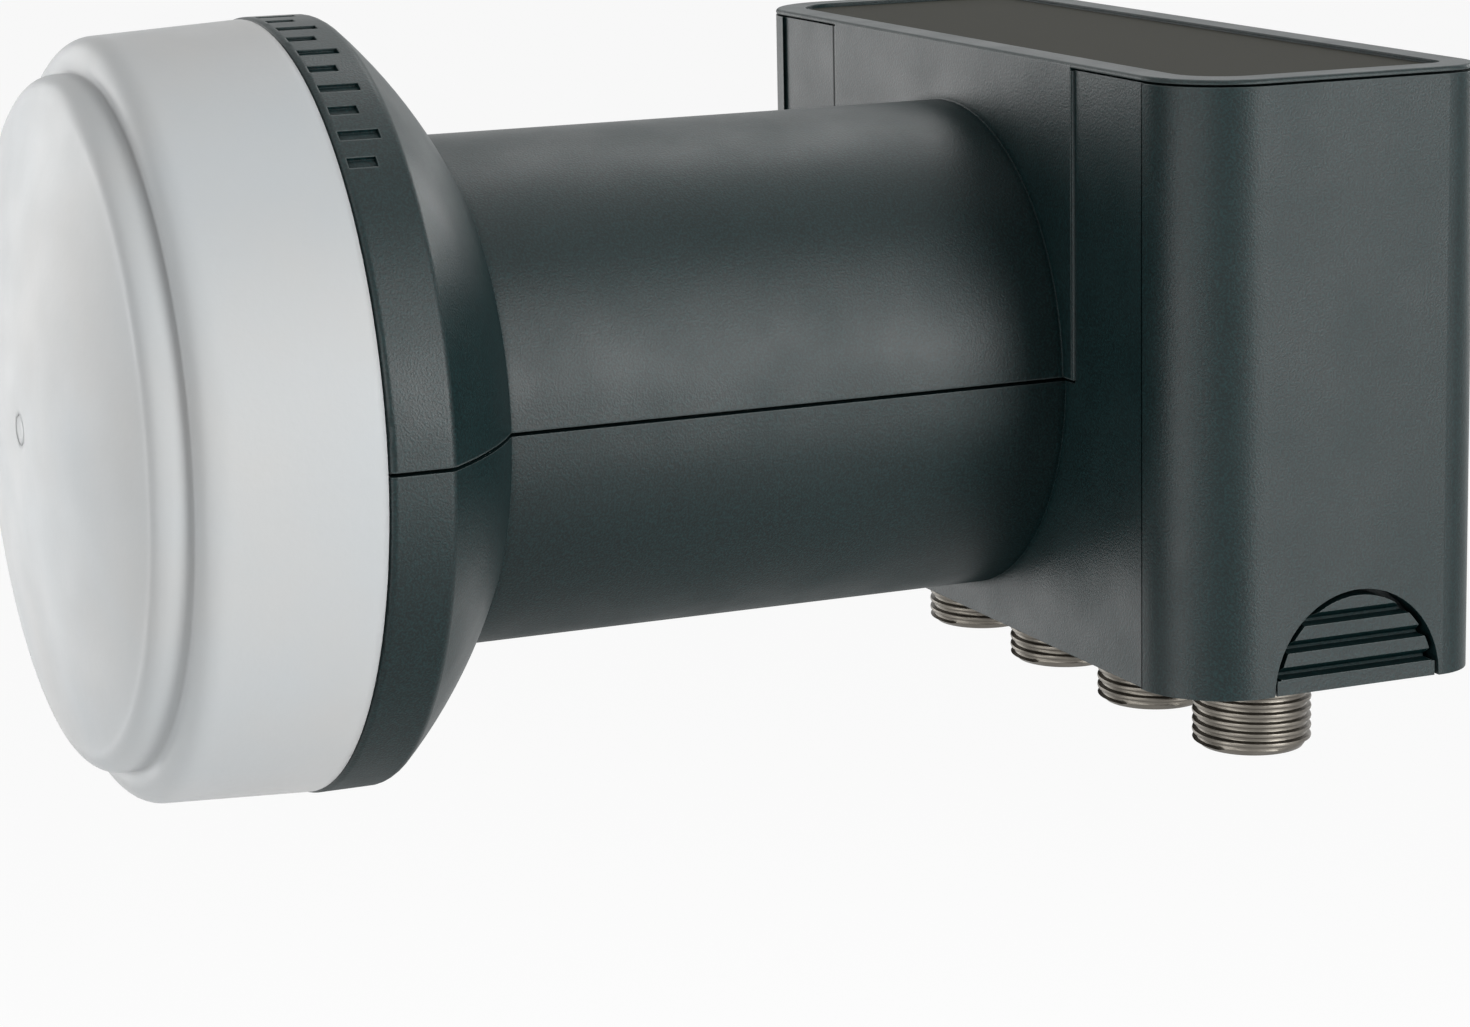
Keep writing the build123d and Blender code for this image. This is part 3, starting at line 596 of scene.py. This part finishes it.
class LNB_OT_camera(bpy.types.Operator):
    """Sets the camera as in the photograph"""
    bl_idname = "lnb.camera"
    bl_label = "Camera"

    def execute(self, context):
        settings = context.scene.lnb_camera
        data = bpy.data.cameras.new("photo_camera")
        data.sensor_width = 36.0
        data.sensor_fit = "HORIZONTAL"
        data.lens = settings.lens
        data.shift_y = settings.rise
        data.clip_start = 0.01
        data.clip_end = 50.0
        camera = bpy.data.objects.new("photo_camera", data)
        context.scene.collection.objects.link(camera)
        level = Matrix.Rotation(settings.azimuth, 4, "Z")
        tilt = Matrix.Rotation(radians(90) - settings.elevation, 4, "X")
        roll = Matrix.Rotation(settings.roll, 4, "Z")
        back = Matrix.Translation((0.0, 0.0, settings.distance))
        camera.matrix_world = Matrix.Translation(settings.aim) @ level @ tilt @ roll @ back
        context.scene.camera = camera
        return {"FINISHED"}


# Turn from +X towards +Y and rise above the horizon in degrees, and share of the lamp power
LAMPS = {
    "key_box": (25, 10, 0.72),
    "key_high_box": (25, 35, 0.30),
    "key_low_box": (25, -15, 0.25),
    "cap_high_box": (-90, 45, 0.13),
    "cap_box": (-55, 8, 0.29),
    "cap_low_box": (-80, -15, 0.28),
    "cap_floor_box": (-90, -45, 0.07),
    "far_box": (-157, 12, 0.18),
    "far_low_box": (-157, -10, 0.12),
    "far_side_box": (-140, 0, 0.07),
    "back_box": (110, 10, 0.32),
    "lid_box": (140, 50, 0.14),
    "top_box": (0, 88, 0.16),
}


def softbox(name, turn, rise, power, settings):
    """Round soft lamp that looks at the object."""
    towards = Vector((cos(turn) * cos(rise), sin(turn) * cos(rise), sin(rise)))
    data = bpy.data.lights.new(name, "AREA")
    data.shape = "DISK"
    data.size = settings.lamp_size
    data.energy = power
    lamp = bpy.data.objects.new(name, data)
    lamp.location = towards * settings.lamp_distance
    lamp.rotation_euler = (-towards).to_track_quat("-Z", "Y").to_euler()
    bpy.context.scene.collection.objects.link(lamp)
    return lamp


def seen_directly(tree):
    """One where a ray comes from the camera, a glossy or a clear surface, else zero."""
    path = tree.nodes.new("ShaderNodeLightPath")
    total = path.outputs["Is Camera Ray"]
    for kind in ("Is Glossy Ray", "Is Transmission Ray"):
        either = add(tree, "ShaderNodeMath", operation="MAXIMUM")
        tree.links.new(total, either.inputs[0])
        tree.links.new(path.outputs[kind], either.inputs[1])
        total = either.outputs[0]
    return total


class LNB_OT_stage(bpy.types.Operator):
    """Builds the pale floor, the surroundings and the lamps"""
    bl_idname = "lnb.stage"
    bl_label = "Stage"

    def execute(self, context):
        settings = context.scene.lnb_stage
        context.scene.view_settings.view_transform = "Standard"
        self.surroundings(context, settings)
        self.floor(context, settings)
        for name, (turn, rise, share) in LAMPS.items():
            softbox(name, radians(turn), radians(rise), share * settings.lamp_power, settings)
        return {"FINISHED"}

    def surroundings(self, context, settings):
        """World that shows white and lights gently."""
        world = bpy.data.worlds.new("studio")
        context.scene.world = world
        world.use_nodes = True
        tree = world.node_tree
        tree.nodes.clear()
        shown = feed(tree, tree.nodes.new("ShaderNodeBackground"), Strength=settings.backdrop)
        light = feed(tree, tree.nodes.new("ShaderNodeBackground"), Strength=settings.ambient)
        shown.inputs["Color"].default_value = (1.0, 1.0, 1.0, 1.0)
        light.inputs["Color"].default_value = (1.0, 1.0, 1.0, 1.0)
        mix = tree.nodes.new("ShaderNodeMixShader")
        tree.links.new(seen_directly(tree), mix.inputs["Fac"])
        tree.links.new(light.outputs[0], mix.inputs[1])
        tree.links.new(shown.outputs[0], mix.inputs[2])
        out = tree.nodes.new("ShaderNodeOutputWorld")
        tree.links.new(mix.outputs[0], out.inputs["Surface"])

    def floor(self, context, settings):
        """Round floor in a pale paint that keeps a faint shadow."""
        mottle_width = 0.15
        glow_share = 0.9
        material, tree = new_material("pale_floor")
        paint = feed(tree, tree.nodes.new("ShaderNodeBsdfDiffuse"), Roughness=0.5)
        where = place(tree)
        mottle = spread(tree, cloud(tree, where, mottle_width, detail=3.0), 0.0, 1.0)
        shade = tint(tree, mottle, settings.floor_colour, [0.98 * c for c in settings.floor_colour])
        tree.links.new(shade, paint.inputs["Color"])
        glow = feed(tree, tree.nodes.new("ShaderNodeEmission"), Strength=1.05 * settings.backdrop)
        glow.inputs["Color"].default_value = (1.0, 1.0, 1.0, 1.0)
        share = add(tree, "ShaderNodeMath", operation="MULTIPLY")
        tree.links.new(seen_directly(tree), share.inputs[0])
        share.inputs[1].default_value = glow_share
        mix = tree.nodes.new("ShaderNodeMixShader")
        tree.links.new(share.outputs[0], mix.inputs["Fac"])
        tree.links.new(paint.outputs[0], mix.inputs[1])
        tree.links.new(glow.outputs[0], mix.inputs[2])
        out = next(n for n in tree.nodes if n.type == "OUTPUT_MATERIAL")
        tree.links.new(mix.outputs[0], out.inputs["Surface"])
        bm = bmesh.new()
        bmesh.ops.create_circle(bm, cap_ends=True, segments=96, radius=settings.floor_radius)
        mesh = bpy.data.meshes.new("floor")
        bm.to_mesh(mesh)
        bm.free()
        mesh.materials.append(material)
        floor = bpy.data.objects.new("floor", mesh)
        floor.location.z = -settings.floor_drop
        context.scene.collection.objects.link(floor)


class LNB_OT_shells(bpy.types.Operator):
    """Finishes the two shells in grained dark plastic"""
    bl_idname = "lnb.shells"
    bl_label = "Shells"

    def execute(self, context):
        settings = context.scene.lnb_shell
        upper = moulded_plastic("upper_plastic", settings, settings.edge_round,
                                settings.field_height)
        dress(["upper_shell"], upper)
        # The lower shell gets painted shade lines at the recess step and beside the saddle's left
        # joint.
        lower = moulded_plastic("lower_plastic", settings, settings.seam_round,
                                lines=(settings.recess_reach, -settings.seam_reach))
        dress(["lower_shell"], lower)
        return {"FINISHED"}


# Places across and back from the saddle's edge, in heights of the recess step
LIP_PROFILE = ((0.1, 0.08), (0.5, 0.4), (0.65, 1.0), (0.0, 1.0), (0.0, 3.0))


class LNB_OT_joint_lip(bpy.types.Operator):
    """Builds the thin bead that closes the joint at the saddle's right side"""
    bl_idname = "lnb.joint_lip"
    bl_label = "Joint lip"

    def execute(self, context):
        settings = context.scene.lnb_shell
        outer = settings.saddle_reach
        inner = outer - settings.saddle_gap
        face = settings.saddle_face
        step = settings.recess_step
        outline = [(inner, face)]
        outline += [(outer + across * step, face + back * step) for across, back in LIP_PROFILE]
        outline.append((inner, outline[-1][1]))
        bm = bmesh.new()
        ends = [[bm.verts.new((x, y, z)) for x, y in outline]
                for z in (settings.joint_foot, settings.joint_top)]
        join_rings(bm, *ends)
        for end in ends:
            bm.faces.new(end)
        plastic = moulded_plastic("lip_plastic", settings, settings.seam_round)
        smooth_by_angle(piece_from(bm, "joint_lip", plastic, HOUSING), radians(50))
        return {"FINISHED"}


class LNB_OT_sleeve(bpy.types.Operator):
    """Finishes the weather sleeve and its finger grips"""
    bl_idname = "lnb.sleeve"
    bl_label = "Weather sleeve"

    def execute(self, context):
        settings = context.scene.lnb_shell
        plastic = moulded_plastic("sleeve_plastic", settings, settings.seam_round)
        dress(["weather_sleeve"], plastic)
        return {"FINISHED"}


# Share of the scar's radius, and depth under the cap's middle
SCAR_PROFILE = ((0.0, 0.00009), (0.5, 0.00006), (0.8, 0.00003), (0.96, 0.00002), (1.0, 0.00005))


class LNB_OT_feed_cap(bpy.types.Operator):
    """Finishes the feed cap in pale satin plastic and fills its gate dimple"""
    bl_idname = "lnb.feed_cap"
    bl_label = "Feed cap"

    def execute(self, context):
        settings = context.scene.lnb_cap
        plastic = cap_plastic("cap_plastic", settings)
        dress(["feed_cap"], plastic)
        front = -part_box("feed_cap")[0].y
        floor = front - settings.gate_depth
        radius = settings.gate_radius - settings.gate_gap
        outline = [(share * radius, front - depth) for share, depth in SCAR_PROFILE]
        outline += [(radius, floor), (0.0, floor)]
        bm = bmesh.new()
        lathe(bm, (0.0, 0.0), outline, 48)
        bm.transform(Matrix.Rotation(radians(90), 4, "X"))
        smooth_by_angle(piece_from(bm, "gate_scar", plastic, HOUSING), radians(50))
        return {"FINISHED"}


class LNB_OT_outputs(bpy.types.Operator):
    """Builds the F outputs with their turned threads, hexagon flanges and mouths"""
    bl_idname = "lnb.outputs"
    bl_label = "F outputs"

    shank: bpy.props.FloatProperty(
        name="Shank radius", description="Round shank above the flange",
        default=0.0037, unit="LENGTH", precision=5)
    bore: bpy.props.FloatProperty(
        name="Bore radius", description="Bore that holds the insulator",
        default=0.0032, unit="LENGTH", precision=5)
    mouth: bpy.props.FloatProperty(
        name="Mouth radius", description="Hole in the end face",
        default=0.0017, unit="LENGTH", precision=5)
    mouth_edge: bpy.props.FloatProperty(
        name="Mouth chamfer", description="Chamfer of that hole",
        default=0.0002, unit="LENGTH", precision=5)
    end_wall: bpy.props.FloatProperty(
        name="End wall", description="Metal in front of the insulator",
        default=0.0008, unit="LENGTH", precision=5)
    flange_rise: bpy.props.FloatProperty(
        name="Flange place", description="From the shank's top down to the flange's top",
        default=0.0025, unit="LENGTH", precision=5)
    flange_height: bpy.props.FloatProperty(
        name="Flange height", description="Thickness of the hexagon",
        default=0.002, unit="LENGTH", precision=5)
    flange_flat: bpy.props.FloatProperty(
        name="Flange flat", description="From the axis to a flat of the hexagon",
        default=0.0055, unit="LENGTH", precision=5)

    def execute(self, context):
        settings = context.scene.lnb_output
        plating = nickel_plate("nickel_plate", settings)
        for node in OUTPUTS:
            mount = OUTPUT_MOUNTS[node]
            piece = self.output(node, mount, settings, plating)
            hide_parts(node)
        return {"FINISHED"}

    def output(self, node, mount, settings, plating):
        """One output round its mount's axis."""
        low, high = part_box(node)
        centre = mount["pos_m"][:2]
        crest = mount["dims"]["r_mm"] / 1000
        flange_top = high.z - self.flange_rise
        flange_low = flange_top - self.flange_height
        root = crest - settings.depth
        bevel = settings.depth
        thread_low = low.z + bevel
        neck_low = flange_low - settings.pitch * 0.7
        segments = settings.segments
        bm = bmesh.new()
        thread(bm, centre, crest, settings.depth, settings.pitch, neck_low, thread_low, segments)
        inner_z = low.z + self.end_wall
        lathe(bm, centre, [
            (root, thread_low), (root - bevel * 0.6, low.z + bevel * 0.1),
            (root - bevel * 0.9, low.z), (self.mouth + self.mouth_edge, low.z),
            (self.mouth, low.z + self.mouth_edge),
            (self.mouth, inner_z), (self.bore, inner_z), (self.bore, high.z),
            (self.shank, high.z), (self.shank, flange_top),
            (root, flange_low), (root, neck_low)], segments, closed=False)
        hexagon(bm, centre, self.flange_flat, self.shank, flange_top, flange_low, segments)
        piece = piece_from(bm, node.replace("f_output", "threaded_output"), plating, HOUSING)
        smooth_by_angle(piece, radians(38))
        return piece


class LNB_OT_output_fittings(bpy.types.Operator):
    """Builds the insulators with their funnels and the split spring contacts"""
    bl_idname = "lnb.output_fittings"
    bl_label = "Insulators and contacts"

    hole: bpy.props.FloatProperty(
        name="Hole radius", description="Hole for the plug's pin",
        default=0.0007, unit="LENGTH", precision=5)
    funnel: bpy.props.FloatProperty(
        name="Funnel radius", description="Mouth of the funnel that guides the pin",
        default=0.0014, unit="LENGTH", precision=5)
    funnel_depth: bpy.props.FloatProperty(
        name="Funnel depth", description="Depth of that funnel",
        default=0.0007, unit="LENGTH", precision=5)
    rim: bpy.props.FloatProperty(
        name="Rim chamfer", description="Chamfer round an insulator's end",
        default=0.0002, unit="LENGTH", precision=5)
    slit: bpy.props.FloatProperty(
        name="Contact slit", description="Gap between a contact's two leaves",
        default=0.00014, unit="LENGTH", precision=5)

    def execute(self, context):
        white = plain_moulding("insulator_plastic", (0.78, 0.77, 0.73), 0.42, 0.0003)
        brass = cast_metal("contact_brass", (0.78, 0.62, 0.34), 0.0002, 0.000004, 0.3)
        insulators = bmesh.new()
        contacts = bmesh.new()
        white_low, white_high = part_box("output_insulators")
        pin_low, pin_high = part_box("output_contacts")
        outer = (white_high.y - white_low.y) / 2
        reach = (pin_high.y - pin_low.y) / 2
        for node in OUTPUTS:
            centre = OUTPUT_MOUNTS[node]["pos_m"][:2]
            lathe(insulators, centre, [
                (self.hole, white_low.z + self.funnel_depth), (self.funnel, white_low.z),
                (outer - self.rim, white_low.z), (outer, white_low.z + self.rim),
                (outer, white_high.z), (self.hole, white_high.z)], 64)
            for side in (0.0, pi):
                self.leaf(contacts, centre, reach, side, pin_low.z, pin_high.z)
        piece = piece_from(insulators, "funnel_insulators", white, HOUSING)
        smooth_by_angle(piece, radians(35))
        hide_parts("output_insulators")
        piece = piece_from(contacts, "spring_contacts", brass, HOUSING)
        smooth_by_angle(piece, radians(35))
        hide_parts("output_contacts")
        return {"FINISHED"}

    def leaf(self, bm, centre, reach, side, low, high):
        """Half round leaf of a contact, bevelled at its tip."""
        x, y = centre
        steps = 12
        rings = []
        for z, radius in ((low, 0.7 * reach), (low + 0.3 * reach, reach), (high, reach)):
            line = []
            for i in range(steps + 1):
                angle = side + pi * i / steps
                across = max(radius * sin(pi * i / steps), self.slit / 2)
                lift = across if side == 0.0 else -across
                line.append(bm.verts.new((x + radius * cos(angle), y + lift, z)))
            rings.append(line)
        for lower, upper in zip(rings, rings[1:]):
            join_rings(bm, lower, upper)
        bm.faces.new(rings[0])
        bm.faces.new(rings[-1])


class LNB_OT_casting(bpy.types.Operator):
    """Finishes the casting, its lid, screws, gasket and seals"""
    bl_idname = "lnb.casting"
    bl_label = "Casting and lid"

    def execute(self, context):
        cast = cast_metal("casting_metal", (0.52, 0.53, 0.54), 0.0004, 0.00003, 0.45)
        rolled = cast_metal("lid_metal", (0.60, 0.61, 0.62), 0.0009, 0.000006, 0.34)
        zinc = cast_metal("screw_steel", (0.58, 0.57, 0.54), 0.0002, 0.000008, 0.3)
        black = plain_moulding("seal_rubber", (0.018, 0.018, 0.018), 0.72, 0.0004)
        dress(["feed_casting"], cast)
        dress(["rear_lid"], rolled)
        dress(["lid_screws"], zinc)
        dress(["cap_seal", "lid_gasket", "output_seals"], black)
        return {"FINISHED"}


class LNB_OT_electronics(bpy.types.Operator):
    """Finishes the board, its screen and what it carries"""
    bl_idname = "lnb.electronics"
    bl_label = "Board and parts"

    def execute(self, context):
        dress(["circuit_board"], board_resist("board_resist"))
        dress(["shield_cover", "crystal"],
              cast_metal("tinned_steel", (0.62, 0.62, 0.60), 0.0006, 0.000005, 0.32))
        dress(["horizontal_probe", "vertical_probe"],
              cast_metal("probe_wire", (0.70, 0.58, 0.34), 0.0003, 0.000004, 0.28))
        dress(["switch_chip", "regulators", "supply_chokes"],
              plain_moulding("chip_plastic", (0.020, 0.020, 0.021), 0.55, 0.0002))
        dress(["chip_capacitors", "probe_bushes"],
              plain_moulding("pale_ceramic", (0.55, 0.47, 0.36), 0.4, 0.0002))
        return {"FINISHED"}


class LNB_PT_sidebar(bpy.types.Panel):
    """Steps that build the LNB's looks"""
    bl_idname = "LNB_PT_sidebar"
    bl_label = "Satellite LNB"
    bl_space_type = "VIEW_3D"
    bl_region_type = "UI"
    bl_category = "LNB"

    def draw(self, context):
        for operator in OPERATORS:
            self.layout.operator(operator.bl_idname)
        for group in GROUPS:
            settings = getattr(context.scene, group)
            box = self.layout.box()
            for name in settings.bl_rna.properties.keys():
                if name not in ("rna_type", "name"):
                    box.prop(settings, name)


OPERATORS = (
    LNB_OT_camera, LNB_OT_stage, LNB_OT_shells, LNB_OT_joint_lip, LNB_OT_sleeve, LNB_OT_feed_cap,
    LNB_OT_outputs, LNB_OT_output_fittings, LNB_OT_casting, LNB_OT_electronics,
)
GROUPS = {
    "lnb_camera": CameraSettings, "lnb_stage": StageSettings, "lnb_shell": ShellSettings,
    "lnb_cap": CapSettings, "lnb_output": OutputSettings,
}


def register():
    """Registers the classes and hangs the settings on the scene."""
    for group in GROUPS.values():
        bpy.utils.register_class(group)
    for operator in OPERATORS:
        bpy.utils.register_class(operator)
    bpy.utils.register_class(LNB_PT_sidebar)
    for name, group in GROUPS.items():
        setattr(bpy.types.Scene, name, bpy.props.PointerProperty(type=group))


def unregister():
    """Undoes what register did."""
    for name in GROUPS:
        delattr(bpy.types.Scene, name)
    bpy.utils.unregister_class(LNB_PT_sidebar)
    for operator in reversed(OPERATORS):
        bpy.utils.unregister_class(operator)
    for group in reversed(GROUPS.values()):
        bpy.utils.unregister_class(group)


def main():
    """Builds everything in order."""
    register()
    bpy.ops.lnb.camera()
    bpy.ops.lnb.stage()
    bpy.ops.lnb.shells()
    bpy.ops.lnb.joint_lip()
    bpy.ops.lnb.sleeve()
    bpy.ops.lnb.feed_cap()
    bpy.ops.lnb.outputs()
    bpy.ops.lnb.output_fittings()
    bpy.ops.lnb.casting()
    bpy.ops.lnb.electronics()


if __name__ == "__main__":
    main()
